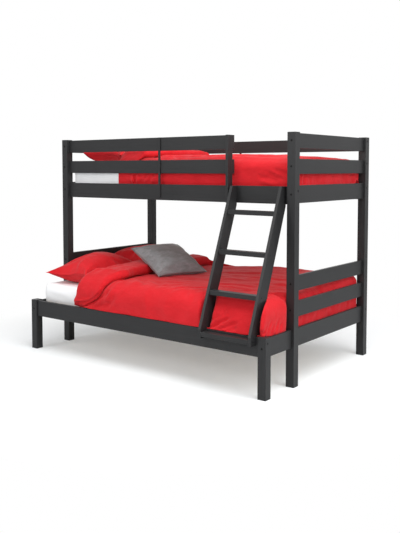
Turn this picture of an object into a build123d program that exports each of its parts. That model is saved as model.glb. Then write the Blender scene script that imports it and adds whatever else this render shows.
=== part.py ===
from build123d import *
import os
from math import atan2, cos, radians, sin

# Triple sleeper bunk bed: a single berth over a wider small double, with a leaning ladder.
# Millimetres. X runs along the bed, Y from the ladder side to the back, Z up. The origin is on the
# floor, midway along the bed and midway between the foot of the ladder and the back posts.

# Overall sizes
bed_length = 2020
upper_depth = 1015
lower_reach = 310
post_height = 1525
post_side = 55
leg_rise = 5
edge_round = 2

# Boards: how far each stands behind the outer face of its post, its height and the gaps between them
board_thick = 20
guard_recess = 26
end_recess = 17
lower_recess = 10
guard_height = 90
guard_drop = 5
guard_gap = 63
guard_foot_gap = 74
upper_side_height = 107
upper_end_height = 107
upper_end_rise = 6
lower_side_height = 112
lower_side_bottom = 241
lower_end_height = 110
lower_end_drop = 2
lower_panel_height = 95
lower_panel_gap = 62
lower_panel_foot_gap = 69

# Front guard: the upright beside the ladder opening and the two middle battens
upright_depth = 50
upright_gap = 14
batten_width = 16
batten_thick = 9
batten_place = 951
batten_rise = 19

# Ladder
ladder_width = 375
ladder_gap = 22
stringer_thick = 20
stringer_width = 88
ladder_lap = 48
ladder_lap_drop = 50
foot_front_height = 55
tread_thick = 28
tread_depth = 48
first_tread_drop = 10
last_tread_drop = 146.9
tread_count = 4

# Slats and their bearers
slat_thick = 18
slat_width = 72
upper_slat_count = 12
lower_slat_count = 12
slat_end_gap = 2
bearer_side = 30
upper_slat_rise = 69
lower_slat_rise = 66
centre_bearer_width = 45
bearer_block_length = 35
bearer_end_gap = 1
block_share = 0.35

# Fasteners
bolt_radius = 3
bolt_head_radius = 7
bolt_head_height = 4
bolt_sink = 5.5
bolt_grip = 60
bolt_clearance = 0.2
barrel_radius = 5
barrel_length = 14
barrel_setback = 45
side_bolt_share = 0.75
end_bolt_share = 0.5
dowel_radius = 4
dowel_length = 36
dowel_share = 0.22
screw_radius = 2
screw_head_radius = 4.5
screw_head_height = 2.5
screw_sink = 0.4
screw_clearance = 0.1
screw_length = 44
batten_screw_length = 26
rail_screw_drop = 13
bearer_screw_count = 6
bearer_screw_margin = 80

# Bedding
soft_gap = 0.4
mattress_end_gap = 5
upper_mattress_side_gap = 14
mattress_ladder_gap = 3.5
mattress_thick = 165
mattress_corner = 40
mattress_edge = 24
back_gap = 3
pillow_end_gap = 5.5
pillow_width = 420
pillow_thick = 200
upper_pillow_length = 700
upper_pillow_thick = 185
pillow_tilt = 3
cushion_side = 425
cushion_thick = 120
cushion_place = (778, 319)
cushion_seat = 84.5
cushion_recline = 23
cushion_turn = 17
duvet_thick = 78
lower_fold_height = 150
lower_fold_start = 470
fold_length = 230
lower_duvet_overhang = 3
ladder_squeeze = 1.5
upper_fold_height = 118
upper_fold_start = 530
upper_duvet_thick = 60
foot_tuck = 14
hem_rise = 12
duvet_back_margin = 36

# Outlines that the lengths above scale: along share, width share, thickness share of a pillow
pillow_shares = (
    (-0.50, 0.97, 0.10),
    (-0.44, 0.965, 0.42),
    (-0.28, 0.935, 0.86),
    (0.00, 0.92, 1.00),
    (0.28, 0.935, 0.86),
    (0.44, 0.965, 0.42),
    (0.50, 0.97, 0.10),
)
# Along share of the fold, and of the rest of the duvet, with the share of its height there
fold_shares = ((0.0, 0.62), (0.14, 0.92), (0.45, 1.0), (0.80, 0.90))
body_shares = ((0.0, 1.0), (0.25, 1.03), (0.50, 1.18), (0.75, 1.26), (0.95, 1.16), (1.0, 0.70))

# Section of a duvet: the height of its shoulders and sides, and how far the sides draw in, as shares
duvet_edge_share = 0.72
duvet_side_share = 0.35
duvet_draw_share = 0.3

# Planes that the sizes give
left_x = -bed_length / 2
right_x = bed_length / 2
depth = ladder_lap + lower_reach - lower_recess + upper_depth
front_y = -depth / 2
post_y = front_y + ladder_lap - lower_recess + lower_reach
back_y = depth / 2
leg_y = post_y - lower_reach
inner_left = left_x + post_side
inner_right = right_x - post_side
upper_rail_y = post_y + guard_recess
upper_back_rail_y = back_y - guard_recess - board_thick
lower_rail_y = leg_y + lower_recess
lower_back_rail_y = back_y - lower_recess - board_thick
guard_top = post_height - guard_drop
guard_top_bottom = guard_top - guard_height
guard_mid_bottom = guard_top_bottom - guard_gap - guard_height
upper_side_top = guard_mid_bottom - guard_foot_gap
upper_side_bottom = upper_side_top - upper_side_height
upper_end_bottom = upper_side_bottom + upper_end_rise
lower_side_top = lower_side_bottom + lower_side_height
leg_height = lower_side_top + leg_rise
lower_end_bottom = lower_side_bottom - lower_end_drop
lower_panel_mid_bottom = lower_end_bottom + lower_end_height + lower_panel_foot_gap
lower_panel_top_bottom = lower_panel_mid_bottom + lower_panel_height + lower_panel_gap
upper_slat_top = upper_side_bottom + upper_slat_rise
lower_slat_top = lower_side_bottom + lower_slat_rise
overrun = post_side

# Ladder lines: each stringer leans from the lower side rail, which it laps, to the upper one
foot_front_y = lower_rail_y - ladder_lap
top_front_y = upper_rail_y - ladder_lap
lap_bottom = lower_side_top - ladder_lap_drop
foot_front_z = lap_bottom + foot_front_height
ladder_lean = (top_front_y - foot_front_y) / (upper_side_top - foot_front_z)
lean_angle = atan2(top_front_y - foot_front_y, upper_side_top - foot_front_z)
stringer_reach = stringer_width / cos(lean_angle)
ladder_right = inner_right - ladder_gap
ladder_left = ladder_right - ladder_width
first_tread_top = lower_side_top - first_tread_drop
tread_pitch = (upper_side_top - last_tread_drop - first_tread_top) / (tread_count - 1)
stringer_spans = {
    "left": (ladder_left, ladder_left + stringer_thick),
    "right": (ladder_right - stringer_thick, ladder_right),
}

# Guard upright, at the ladder opening, and the battens that tie the guard rails at mid length
upright_right = ladder_left - upright_gap
upright_span = (upright_right - board_thick, upright_right)
batten_x = left_x + batten_place
batten_span = (batten_x - batten_width / 2, batten_x + batten_width / 2)
batten_bottom = upper_side_bottom + batten_rise

os.makedirs("parts", exist_ok=True)


def save(piece, label):
    piece.part.label = label
    export_step(piece.part, f"parts/{label}.step")


def board(x_span, y_span, z_span, rounding=edge_round):
    """A square bar or board between three pairs of faces, with its edges eased."""
    x_low, x_high = x_span
    y_low, y_high = y_span
    z_low, z_high = z_span
    with BuildPart() as piece:
        with BuildSketch(Plane.XY.offset(z_low)):
            with Locations(((x_low + x_high) / 2, (y_low + y_high) / 2)):
                Rectangle(x_high - x_low, y_high - y_low)
        extrude(amount=z_high - z_low)
        if rounding:
            fillet(piece.edges(), rounding)
    return piece


class Joint_line:
    """One bolt from the outer face of a post into the end of a rail, with its barrel nut and dowel."""

    def __init__(self, head, into, nut_axis, dowel_drop):
        self.head = Vector(*head)
        self.into = Vector(*into)
        self.nut_axis = Vector(*nut_axis)
        self.dowel_drop = dowel_drop

    def plane(self, along=0.0, drop=0.0):
        origin = self.head + self.into * along - Vector(0, 0, drop)
        return Plane(origin=origin, z_dir=-self.into)


# Every bolted joint: post faces in Y take the end rails, post faces in X take the side rails
def end_joints(x_side, front_face, back_face, z_low, height):
    """Bolts at both ends of a rail that runs along Y."""
    inward = -1 if x_side > 0 else 1
    x_mid = x_side + inward * (end_recess + board_thick / 2)
    z_bolt = z_low + height * end_bolt_share
    drop = height * dowel_share
    return [
        Joint_line((x_mid, front_face, z_bolt), (0, 1, 0), (inward, 0, 0), drop),
        Joint_line((x_mid, back_face, z_bolt), (0, -1, 0), (inward, 0, 0), drop),
    ]


def side_joints(y_mid, z_low, height, ends=(-1, 1)):
    """Bolts at the ends of a rail that runs along X."""
    z_bolt = z_low + height * side_bolt_share
    drop = height * (side_bolt_share - dowel_share)
    inward = (0, -1 if y_mid > 0 else 1, 0)
    return [Joint_line((end * right_x, y_mid, z_bolt), (-end, 0, 0), inward, drop) for end in ends]


upper_end_rows = {
    "top": (guard_top_bottom, guard_height),
    "mid": (guard_mid_bottom, guard_height),
    "bottom": (upper_end_bottom, upper_end_height),
}
lower_end_rows = {
    "top": (lower_panel_top_bottom, lower_panel_height),
    "mid": (lower_panel_mid_bottom, lower_panel_height),
    "bottom": (lower_end_bottom, lower_end_height),
}
front_guard_y = upper_rail_y + board_thick / 2
back_guard_y = upper_back_rail_y + board_thick / 2
front_lower_y = lower_rail_y + board_thick / 2
back_lower_y = lower_back_rail_y + board_thick / 2

joints = {}
for side_name, side_x in (("left", left_x), ("right", right_x)):
    for level, rows in (("upper", upper_end_rows), ("lower", lower_end_rows)):
        for row_name, (z_low, height) in rows.items():
            name = f"{level}_end_{side_name}_{row_name}_rail"
            joints[name] = end_joints(side_x, post_y, back_y, z_low, height)
joints["upper_side_rail_front"] = side_joints(front_guard_y, upper_side_bottom, upper_side_height)
joints["upper_side_rail_back"] = side_joints(back_guard_y, upper_side_bottom, upper_side_height)
joints["lower_side_rail_front"] = side_joints(front_lower_y, lower_side_bottom, lower_side_height)
joints["lower_side_rail_back"] = side_joints(back_lower_y, lower_side_bottom, lower_side_height)
joints["guard_front_top_rail"] = side_joints(front_guard_y, guard_top_bottom, guard_height, (-1,))
joints["guard_front_mid_rail"] = side_joints(front_guard_y, guard_mid_bottom, guard_height, (-1,))
joints["guard_back_top_rail"] = side_joints(back_guard_y, guard_top_bottom, guard_height)
joints["guard_back_mid_rail"] = side_joints(back_guard_y, guard_mid_bottom, guard_height)
# The short end rails are bolted from the front legs only; their back ends are dowelled to the posts
for side_name, side_x in (("left", left_x), ("right", right_x)):
    pair = end_joints(side_x, leg_y, post_y, lower_end_bottom, lower_end_height)
    joints[f"lower_short_rail_{side_name}"] = pair[:1]
all_joints = [one for group in joints.values() for one in group]

# The dowels behind the short rails, in the front face of each front post
end_rail_mid = right_x - end_recess - board_thick / 2
short_rail_dowels = [
    Plane(origin=(side * end_rail_mid, post_y, lower_end_bottom + share * lower_end_height), z_dir=(0, -1, 0))
    for side in (-1, 1)
    for share in (dowel_share, 1 - dowel_share)
]


class Screw:
    """A screw: the plane of the face that takes its head, its length, and the two pieces it joins."""

    def __init__(self, plane, length, pieces):
        self.plane = plane
        self.length = length
        self.pieces = pieces


def ladder_front(height):
    """Where the front edge of a stringer is at a height."""
    return foot_front_y + (height - foot_front_z) * ladder_lean


def ladder_back(height):
    """Where the back edge of a stringer is at a height."""
    return ladder_front(height) + stringer_reach


# Ladder treads: number, top and front of each, and the screws through the stringers into their ends
treads = []
for step in range(tread_count):
    tread_top = first_tread_top + step * tread_pitch
    treads.append((step + 1, tread_top, max(ladder_front(tread_top), foot_front_y)))
tread_screws = []
for side_name, outward in (("left", -1), ("right", 1)):
    outer_x = min(stringer_spans[side_name]) if outward < 0 else max(stringer_spans[side_name])
    for number, tread_top, tread_front in treads:
        place = (outer_x, tread_front + tread_depth / 2, tread_top - tread_thick / 2)
        joined = (f"ladder_stringer_{side_name}", f"ladder_tread_{number}")
        tread_screws.append(Screw(Plane(origin=place, z_dir=(outward, 0, 0)), screw_length, joined))

# Screws from inside the bed, through the rails into what stands against their outer faces
def rail_screw(rail, inner_y, inward, x_place, rail_top, length, target):
    place = (x_place, inner_y, rail_top - rail_screw_drop)
    return Screw(Plane(origin=place, z_dir=(0, inward, 0)), length, (rail, target))


front_inner_y = upper_rail_y + board_thick
guard_rows = (("guard_{}_top_rail", guard_top), ("guard_{}_mid_rail", guard_mid_bottom + guard_height))
guard_rows += (("upper_side_rail_{}", upper_side_top),)
rail_screws = []
batten_screws = []
for rail, rail_top in guard_rows:
    front = rail.format("front")
    back = rail.format("back")
    upright_x = sum(upright_span) / 2
    rail_screws.append(
        rail_screw(front, front_inner_y, 1, upright_x, rail_top, screw_length, "guard_front_end_upright")
    )
    batten_screws += [
        rail_screw(front, front_inner_y, 1, batten_x, rail_top, batten_screw_length, "guard_front_batten"),
        rail_screw(back, upper_back_rail_y, -1, batten_x, rail_top, batten_screw_length, "guard_back_batten"),
    ]
for side_name, x_span in stringer_spans.items():
    target = f"ladder_stringer_{side_name}"
    stringer_x = sum(x_span) / 2
    for rail, inner_y, rail_top in (
        ("upper_side_rail_front", front_inner_y, upper_side_top),
        ("lower_side_rail_front", lower_rail_y + board_thick, lower_side_top),
    ):
        rail_screws.append(rail_screw(rail, inner_y, 1, stringer_x, rail_top, screw_length, target))

# Slat bearers: the rail behind each, the inner face of that rail, the way into the bed, and the slats' top
bearers = {
    "upper_slat_bearer_front": ("upper_side_rail_front", front_inner_y, 1, upper_slat_top),
    "upper_slat_bearer_back": ("upper_side_rail_back", upper_back_rail_y, -1, upper_slat_top),
    "lower_slat_bearer_front": ("lower_side_rail_front", lower_rail_y + board_thick, 1, lower_slat_top),
    "lower_slat_bearer_back": ("lower_side_rail_back", lower_back_rail_y, -1, lower_slat_top),
}
bearer_screw_end = inner_right - bearer_screw_margin
bearer_screw_pitch = 2 * bearer_screw_end / (bearer_screw_count - 1)
bearer_screws = []
for bearer, (rail, rail_face, inward, slat_top) in bearers.items():
    for number in range(bearer_screw_count):
        place = (
            number * bearer_screw_pitch - bearer_screw_end,
            rail_face + inward * bearer_side,
            slat_top - slat_thick - bearer_side / 2,
        )
        bearer_screws.append(Screw(Plane(origin=place, z_dir=(0, inward, 0)), screw_length, (bearer, rail)))
all_screws = tread_screws + rail_screws + batten_screws + bearer_screws


def drill_screws(piece, name):
    """The sunk seat of each screw's head in this piece, and its hole there or in the piece behind."""
    with piece:
        for one in all_screws:
            if name in one.pieces:
                with Locations(one.plane):
                    Hole(screw_radius + screw_clearance, one.length + screw_clearance)
            if name == one.pieces[0]:
                with Locations(one.plane):
                    Hole(screw_head_radius + screw_clearance, screw_sink + screw_head_height)


def inside(plane, box):
    """Whether a plane's origin lies on or in a box given as three spans."""
    pairs = zip(plane.origin, box)
    return all(low - edge_round <= value <= high + edge_round for value, (low, high) in pairs)


def drill_post(piece, box):
    """The bolt bores, with their counterbores, and the dowel holes of one post or leg."""
    with piece:
        for one in all_joints:
            if inside(one.plane(), box):
                with Locations(one.plane()):
                    CounterBoreHole(
                        bolt_radius + bolt_clearance,
                        bolt_head_radius + bolt_clearance,
                        bolt_sink,
                        post_side + overrun / 2,
                    )
                with Locations(one.plane(post_side - dowel_length / 2, one.dowel_drop)):
                    Hole(dowel_radius, dowel_length)
        for plane in short_rail_dowels:
            if inside(plane, box):
                with Locations(plane):
                    Hole(dowel_radius, dowel_length / 2)


def drill_rail(piece, name):
    """The bolt bore, dowel hole and barrel nut hole at each end of one rail."""
    with piece:
        for one in joints[name]:
            with Locations(one.plane(post_side)):
                Hole(bolt_radius + bolt_clearance, bolt_grip + bolt_clearance)
            with Locations(one.plane(post_side - dowel_length / 2, one.dowel_drop)):
                Hole(dowel_radius, dowel_length)
            nut_mid = one.head + one.into * (post_side + barrel_setback)
            with Locations(Plane(origin=nut_mid + one.nut_axis * (barrel_length / 2), z_dir=one.nut_axis)):
                Hole(barrel_radius, barrel_length)


# Corner posts and front legs
uprights = {
    "post_front_left": (left_x, post_y, post_height),
    "post_front_right": (inner_right, post_y, post_height),
    "post_back_left": (left_x, back_y - post_side, post_height),
    "post_back_right": (inner_right, back_y - post_side, post_height),
    "leg_front_left": (left_x, leg_y, leg_height),
    "leg_front_right": (inner_right, leg_y, leg_height),
}
for name, (x_low, y_low, height) in uprights.items():
    box = ((x_low, x_low + post_side), (y_low, y_low + post_side), (0, height))
    upright = board(*box)
    drill_post(upright, box)
    save(upright, name)

# Side rails and guard rails, which run along X
guard_end = (inner_left, upright_right)
whole_run = (inner_left, inner_right)
long_rails = {
    "upper_side_rail_front": (whole_run, upper_rail_y, upper_side_bottom, upper_side_height),
    "upper_side_rail_back": (whole_run, upper_back_rail_y, upper_side_bottom, upper_side_height),
    "lower_side_rail_front": (whole_run, lower_rail_y, lower_side_bottom, lower_side_height),
    "lower_side_rail_back": (whole_run, lower_back_rail_y, lower_side_bottom, lower_side_height),
    "guard_front_top_rail": (guard_end, upper_rail_y, guard_top_bottom, guard_height),
    "guard_front_mid_rail": (guard_end, upper_rail_y, guard_mid_bottom, guard_height),
    "guard_back_top_rail": (whole_run, upper_back_rail_y, guard_top_bottom, guard_height),
    "guard_back_mid_rail": (whole_run, upper_back_rail_y, guard_mid_bottom, guard_height),
}
for name, (x_span, y_low, z_low, height) in long_rails.items():
    rail = board(x_span, (y_low, y_low + board_thick), (z_low, z_low + height))
    drill_rail(rail, name)
    drill_screws(rail, name)
    save(rail, name)

# End rails, which run along Y between the posts
end_runs = {
    "left": (left_x + end_recess, left_x + end_recess + board_thick),
    "right": (right_x - end_recess - board_thick, right_x - end_recess),
}
for side_name, x_span in end_runs.items():
    for level, rows in (("upper", upper_end_rows), ("lower", lower_end_rows)):
        for row_name, (z_low, height) in rows.items():
            name = f"{level}_end_{side_name}_{row_name}_rail"
            rail = board(x_span, (post_y + post_side, back_y - post_side), (z_low, z_low + height))
            drill_rail(rail, name)
            save(rail, name)
    name = f"lower_short_rail_{side_name}"
    short_rail = board(
        x_span,
        (leg_y + post_side, post_y),
        (lower_end_bottom, lower_end_bottom + lower_end_height),
    )
    drill_rail(short_rail, name)
    with short_rail:
        for plane in short_rail_dowels:
            if x_span[0] < plane.origin.X < x_span[1]:
                with Locations(Plane(origin=plane.origin, z_dir=-plane.z_dir)):
                    Hole(dowel_radius, dowel_length / 2)
    save(short_rail, name)

# Guard upright and battens, which stand against the outer faces of the guard rails
back_outer_y = upper_back_rail_y + board_thick
upright_y = (upper_rail_y - upright_depth, upper_rail_y)
guard_posts = {
    "guard_front_end_upright": (upright_span, upright_y, upper_side_bottom),
    "guard_front_batten": (batten_span, (upper_rail_y - batten_thick, upper_rail_y), batten_bottom),
    "guard_back_batten": (batten_span, (back_outer_y, back_outer_y + batten_thick), batten_bottom),
}
for name, (x_span, y_span, z_low) in guard_posts.items():
    guard_post = board(x_span, y_span, (z_low, guard_top))
    drill_screws(guard_post, name)
    save(guard_post, name)

# Ladder: the stringers are notched over the lower rail, and the treads stand between them
back_meets_rail = foot_front_z + (upper_rail_y - stringer_reach - foot_front_y) / ladder_lean
stringer_outline = (
    (foot_front_y, lap_bottom),
    (foot_front_y, foot_front_z),
    (top_front_y, upper_side_top),
    (upper_rail_y, upper_side_top),
    (upper_rail_y, back_meets_rail),
    (ladder_back(lower_side_top), lower_side_top),
    (lower_rail_y, lower_side_top),
    (lower_rail_y, lap_bottom),
)
for side_name, x_span in stringer_spans.items():
    name = f"ladder_stringer_{side_name}"
    with BuildPart() as stringer:
        with BuildSketch(Plane.YZ.offset(x_span[0])):
            with BuildLine():
                Polyline(*stringer_outline, close=True)
            make_face()
        extrude(amount=stringer_thick)
        fillet(stringer.edges().filter_by(Plane.YZ), edge_round)
    drill_screws(stringer, name)
    save(stringer, name)

tread_run = (ladder_left + stringer_thick, ladder_right - stringer_thick)
for number, tread_top, tread_front in treads:
    name = f"ladder_tread_{number}"
    tread = board(tread_run, (tread_front, tread_front + tread_depth), (tread_top - tread_thick, tread_top))
    drill_screws(tread, name)
    save(tread, name)

# Slat bearers along the inside of the side rails, and the centre bearer of the wide lower bed
bearer_run = (inner_left + bearer_end_gap, inner_right - bearer_end_gap)
for name, (rail, rail_face, inward, slat_top) in bearers.items():
    y_span = sorted((rail_face, rail_face + inward * bearer_side))
    z_high = slat_top - slat_thick
    bearer = board(bearer_run, y_span, (z_high - bearer_side, z_high))
    drill_screws(bearer, name)
    save(bearer, name)

centre_y = (lower_rail_y + lower_back_rail_y + board_thick) / 2
centre_span = (centre_y - centre_bearer_width / 2, centre_y + centre_bearer_width / 2)
end_inner = right_x - end_recess - board_thick
bearer_top = lower_slat_top - slat_thick
block_top = lower_end_bottom + (bearer_top - lower_end_bottom) * block_share
centre_bearer = board((-end_inner, end_inner), centre_span, (block_top, bearer_top))
save(centre_bearer, "lower_centre_bearer")
with BuildPart() as blocks:
    with BuildSketch(Plane.XY.offset(lower_end_bottom)):
        for side in (-1, 1):
            with Locations((side * (end_inner - bearer_block_length / 2), centre_y)):
                Rectangle(bearer_block_length, centre_bearer_width)
    extrude(amount=block_top - lower_end_bottom)
save(blocks, "centre_bearer_blocks")


# Slats lie across the bearers, evenly spaced between the posts
def slat_row(y_span, slat_top, count):
    y_low, y_high = y_span
    pitch = (inner_right - inner_left - slat_width - 2 * slat_end_gap) / (count - 1)
    with BuildPart() as row:
        with BuildSketch(Plane.XY.offset(slat_top - slat_thick)):
            with Locations((0, (y_low + y_high) / 2)):
                with GridLocations(pitch, pitch, count, 1):
                    Rectangle(slat_width, y_high - y_low)
        extrude(amount=slat_thick)
        fillet(row.edges().filter_by(Axis.Y), edge_round)
    return row


upper_slat_span = (upper_rail_y + board_thick + slat_end_gap, upper_back_rail_y - slat_end_gap)
lower_slat_span = (lower_rail_y + board_thick + slat_end_gap, lower_back_rail_y - slat_end_gap)
save(slat_row(upper_slat_span, upper_slat_top, upper_slat_count), "upper_slats")
save(slat_row(lower_slat_span, lower_slat_top, lower_slat_count), "lower_slats")


# Fasteners
def rod_group(planes, steps):
    """Equal turned pieces: each step is (start below the plane, end below the plane, radius)."""
    with BuildPart() as group:
        for plane in planes:
            for start, end, radius in steps:
                with BuildSketch(plane.offset(-start)):
                    Circle(radius)
                extrude(amount=start - end)
    return group


head_start = bolt_sink - bolt_head_height
bolt_end = post_side + barrel_setback - barrel_radius
bolt_steps = ((head_start, bolt_sink, bolt_head_radius), (bolt_sink, bolt_end, bolt_radius))
save(rod_group([one.plane() for one in all_joints], bolt_steps), "bed_bolts")

nut_planes = []
for one in all_joints:
    nut_mid = one.head + one.into * (post_side + barrel_setback)
    nut_planes.append(Plane(origin=nut_mid + one.nut_axis * (barrel_length / 2), z_dir=one.nut_axis))
save(rod_group(nut_planes, ((0, barrel_length, barrel_radius),)), "barrel_nuts")

dowel_planes = [one.plane(post_side - dowel_length / 2, one.dowel_drop) for one in all_joints]
dowel_planes += [plane.offset(dowel_length / 2) for plane in short_rail_dowels]
save(rod_group(dowel_planes, ((0, dowel_length, dowel_radius),)), "dowels")


def screw_group(screws, length, label):
    """Equal screws: a flat head and a plain shank each."""
    head_end = screw_sink + screw_head_height
    steps = ((screw_sink, head_end, screw_head_radius), (head_end, length, screw_radius))
    save(rod_group([one.plane for one in screws], steps), label)


screw_group(tread_screws + rail_screws + bearer_screws, screw_length, "long_screws")
screw_group(batten_screws, batten_screw_length, "batten_screws")


# Mattresses
def mattress_block(x_span, y_span, z_span, grow=0.0):
    """A mattress with round corners and eased edges, or the same shape grown to cut its neighbour."""
    x_low, x_high = x_span
    y_low, y_high = y_span
    z_low, z_high = z_span
    with BuildPart() as block:
        with BuildSketch(Plane.XY.offset(z_low - grow)):
            with Locations(((x_low + x_high) / 2, (y_low + y_high) / 2)):
                RectangleRounded(x_high - x_low + 2 * grow, y_high - y_low + 2 * grow, mattress_corner + grow)
        extrude(amount=z_high - z_low + 2 * grow)
        fillet(block.faces().filter_by(Axis.Z).edges(), mattress_edge + grow)
    return block


mattress_x = (inner_left + mattress_end_gap, inner_right - mattress_end_gap)
upper_mid_y = (post_y + back_y) / 2
upper_mattress_top = upper_slat_top + mattress_thick
lower_mattress_top = lower_slat_top + mattress_thick
upper_mattress_y = (
    upper_rail_y + board_thick + upper_mattress_side_gap,
    upper_back_rail_y - upper_mattress_side_gap,
)
lower_mattress_y = (ladder_back(lower_mattress_top) + mattress_ladder_gap, lower_back_rail_y - back_gap)
upper_mattress_z = (upper_slat_top + soft_gap, upper_mattress_top)
lower_mattress_z = (lower_slat_top + soft_gap, lower_mattress_top)
save(mattress_block(mattress_x, upper_mattress_y, upper_mattress_z), "upper_mattress")
save(mattress_block(mattress_x, lower_mattress_y, lower_mattress_z), "lower_mattress")


# Pillows and the cushion: lens sections lofted along the piece, thin at the seams and fat in the middle
def crowned(centre, along, across, length, width, thick):
    along = Vector(*along).normalized()
    with BuildPart() as piece:
        for along_share, width_share, thick_share in pillow_shares:
            half = width * width_share / 2
            rise = thick * thick_share / 2
            origin = Vector(*centre) + along * (length * along_share)
            with BuildSketch(Plane(origin=origin, x_dir=across, z_dir=along)):
                with BuildLine():
                    ThreePointArc((-half, 0), (0, rise), (half, 0))
                    ThreePointArc((half, 0), (0, -rise), (-half, 0))
                make_face()
        loft()
    return piece


tilt = radians(pillow_tilt)
pillow_across = (cos(tilt), 0, -sin(tilt))
pillow_x = inner_left + pillow_width / 2 + soft_gap
pillow_length = (lower_mattress_y[1] - lower_mattress_y[0] - soft_gap) / 2 - pillow_end_gap
front_pillow_y = lower_mattress_y[0] + pillow_length / 2
back_pillow_y = front_pillow_y + pillow_length + soft_gap


def pillow_seat(thick):
    """How far the middle of a tilted pillow lies over the mattress."""
    half = pillow_width * max(width_share for _, width_share, _ in pillow_shares) / 2
    rise = thick / 2
    radius = (half**2 + rise**2) / (2 * rise)
    return radius - (radius - rise) * cos(tilt) + soft_gap


lower_pillows = {"lower_pillow_front": front_pillow_y, "lower_pillow_back": back_pillow_y}
for name, pillow_y in lower_pillows.items():
    pillow = crowned(
        (pillow_x, pillow_y, lower_mattress_top + pillow_seat(pillow_thick)),
        (0, 1, 0),
        pillow_across,
        pillow_length,
        pillow_width,
        pillow_thick,
    )
    save(pillow, name)
upper_pillow = crowned(
    (pillow_x, upper_mid_y, upper_mattress_top + pillow_seat(upper_pillow_thick)),
    (0, 1, 0),
    pillow_across,
    upper_pillow_length,
    pillow_width,
    upper_pillow_thick,
)
save(upper_pillow, "upper_pillow")

recline = radians(cushion_recline)
turn = radians(cushion_turn)
cushion_along = (sin(turn), cos(turn), 0)
cushion_across = (cos(turn) * cos(recline), -sin(turn) * cos(recline), -sin(recline))
cushion_z = lower_mattress_top + duvet_thick + cushion_seat
cushion_centre = (left_x + cushion_place[0], post_y + cushion_place[1], cushion_z)
cushion = crowned(
    cushion_centre, cushion_along, cushion_across, cushion_side, cushion_side, cushion_thick
)
save(cushion, "scatter_cushion")


# Duvets: a crowned sheet lofted along the bed, hollowed by the mattress that it lies on
def duvet(stations, y_front, y_back, z_hem, z_mattress, shoulder, cutters):
    """Each station is (x, height over the mattress); the front hangs to the hem."""
    with BuildPart() as sheet:
        for x_place, height in stations:
            z_top = z_mattress + height
            z_edge = z_mattress + height * duvet_edge_share
            z_side = z_mattress + height * duvet_side_share
            draw = shoulder * duvet_draw_share
            with BuildSketch(Plane.YZ.offset(x_place)):
                with BuildLine():
                    Line((y_front, z_hem), (y_front, z_mattress - shoulder / 2))
                    ThreePointArc(
                        (y_front, z_mattress - shoulder / 2),
                        (y_front + draw, z_side),
                        (y_front + shoulder, z_edge),
                    )
                    ThreePointArc(
                        (y_front + shoulder, z_edge),
                        ((y_front + y_back) / 2, z_top),
                        (y_back - shoulder, z_edge),
                    )
                    ThreePointArc(
                        (y_back - shoulder, z_edge),
                        (y_back - draw, z_side),
                        (y_back, z_mattress - shoulder / 2),
                    )
                    Line((y_back, z_mattress - shoulder / 2), (y_back, z_hem))
                    Line((y_back, z_hem), (y_front, z_hem))
                make_face()
        loft(ruled=True)
        for cutter in cutters:
            add(cutter.part, mode=Mode.SUBTRACT)
    return sheet


def post_notch(y_post, z_low):
    """The room that a corner post at the foot of the bed needs in a duvet."""
    side = post_side + 2 * soft_gap
    with BuildPart() as notch:
        with BuildSketch(Plane.XY.offset(z_low)):
            with Locations((inner_right + post_side / 2, y_post)):
                Rectangle(side, side)
        extrude(amount=post_height - z_low)
    return notch


foot_x = mattress_x[1] + foot_tuck


def duvet_stations(fold_start, fold_height, thick):
    """The fold at the pillow end, then the body of the duvet to the foot."""
    start = left_x + fold_start
    fold_end = start + fold_length
    fold = [(start + fold_length * along, fold_height * share) for along, share in fold_shares]
    body = [(fold_end + (foot_x - fold_end) * along, thick * share) for along, share in body_shares]
    return fold + body


wedge_back = ladder_squeeze / cos(lean_angle)
duvet_clear_z = lower_mattress_top + lower_fold_height
with BuildPart() as ladder_wedge:
    with BuildSketch(Plane.YZ.offset(ladder_left - duvet_thick)):
        with BuildLine():
            Polyline(
                (ladder_back(lower_side_bottom) + wedge_back, lower_side_bottom),
                (ladder_back(duvet_clear_z) + wedge_back, duvet_clear_z),
                (foot_front_y - overrun, duvet_clear_z),
                (foot_front_y - overrun, lower_side_bottom),
                close=True,
            )
        make_face()
    extrude(amount=inner_right - ladder_left + duvet_thick + post_side)
lower_duvet = duvet(
    duvet_stations(lower_fold_start, lower_fold_height, duvet_thick),
    lower_rail_y - lower_duvet_overhang,
    lower_mattress_y[1] - duvet_back_margin,
    lower_side_top + soft_gap,
    lower_mattress_top,
    lower_mattress_y[0] - lower_rail_y + lower_duvet_overhang,
    (
        mattress_block(mattress_x, lower_mattress_y, lower_mattress_z, soft_gap),
        ladder_wedge,
        post_notch(post_y + post_side / 2, lower_side_bottom),
    ),
)
save(lower_duvet, "lower_duvet")

upper_duvet = duvet(
    duvet_stations(upper_fold_start, upper_fold_height, upper_duvet_thick),
    upper_rail_y + board_thick + soft_gap,
    upper_back_rail_y - soft_gap,
    upper_side_top - hem_rise,
    upper_mattress_top,
    upper_duvet_thick,
    (
        mattress_block(mattress_x, upper_mattress_y, upper_mattress_z, soft_gap),
        post_notch(post_y + post_side / 2, upper_side_bottom),
        post_notch(back_y - post_side / 2, upper_side_bottom),
    ),
)
save(upper_duvet, "upper_duvet")
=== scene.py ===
from math import cos, pi, radians, sin

import bmesh
import bpy
import numpy as np
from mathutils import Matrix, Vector, noise


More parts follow.
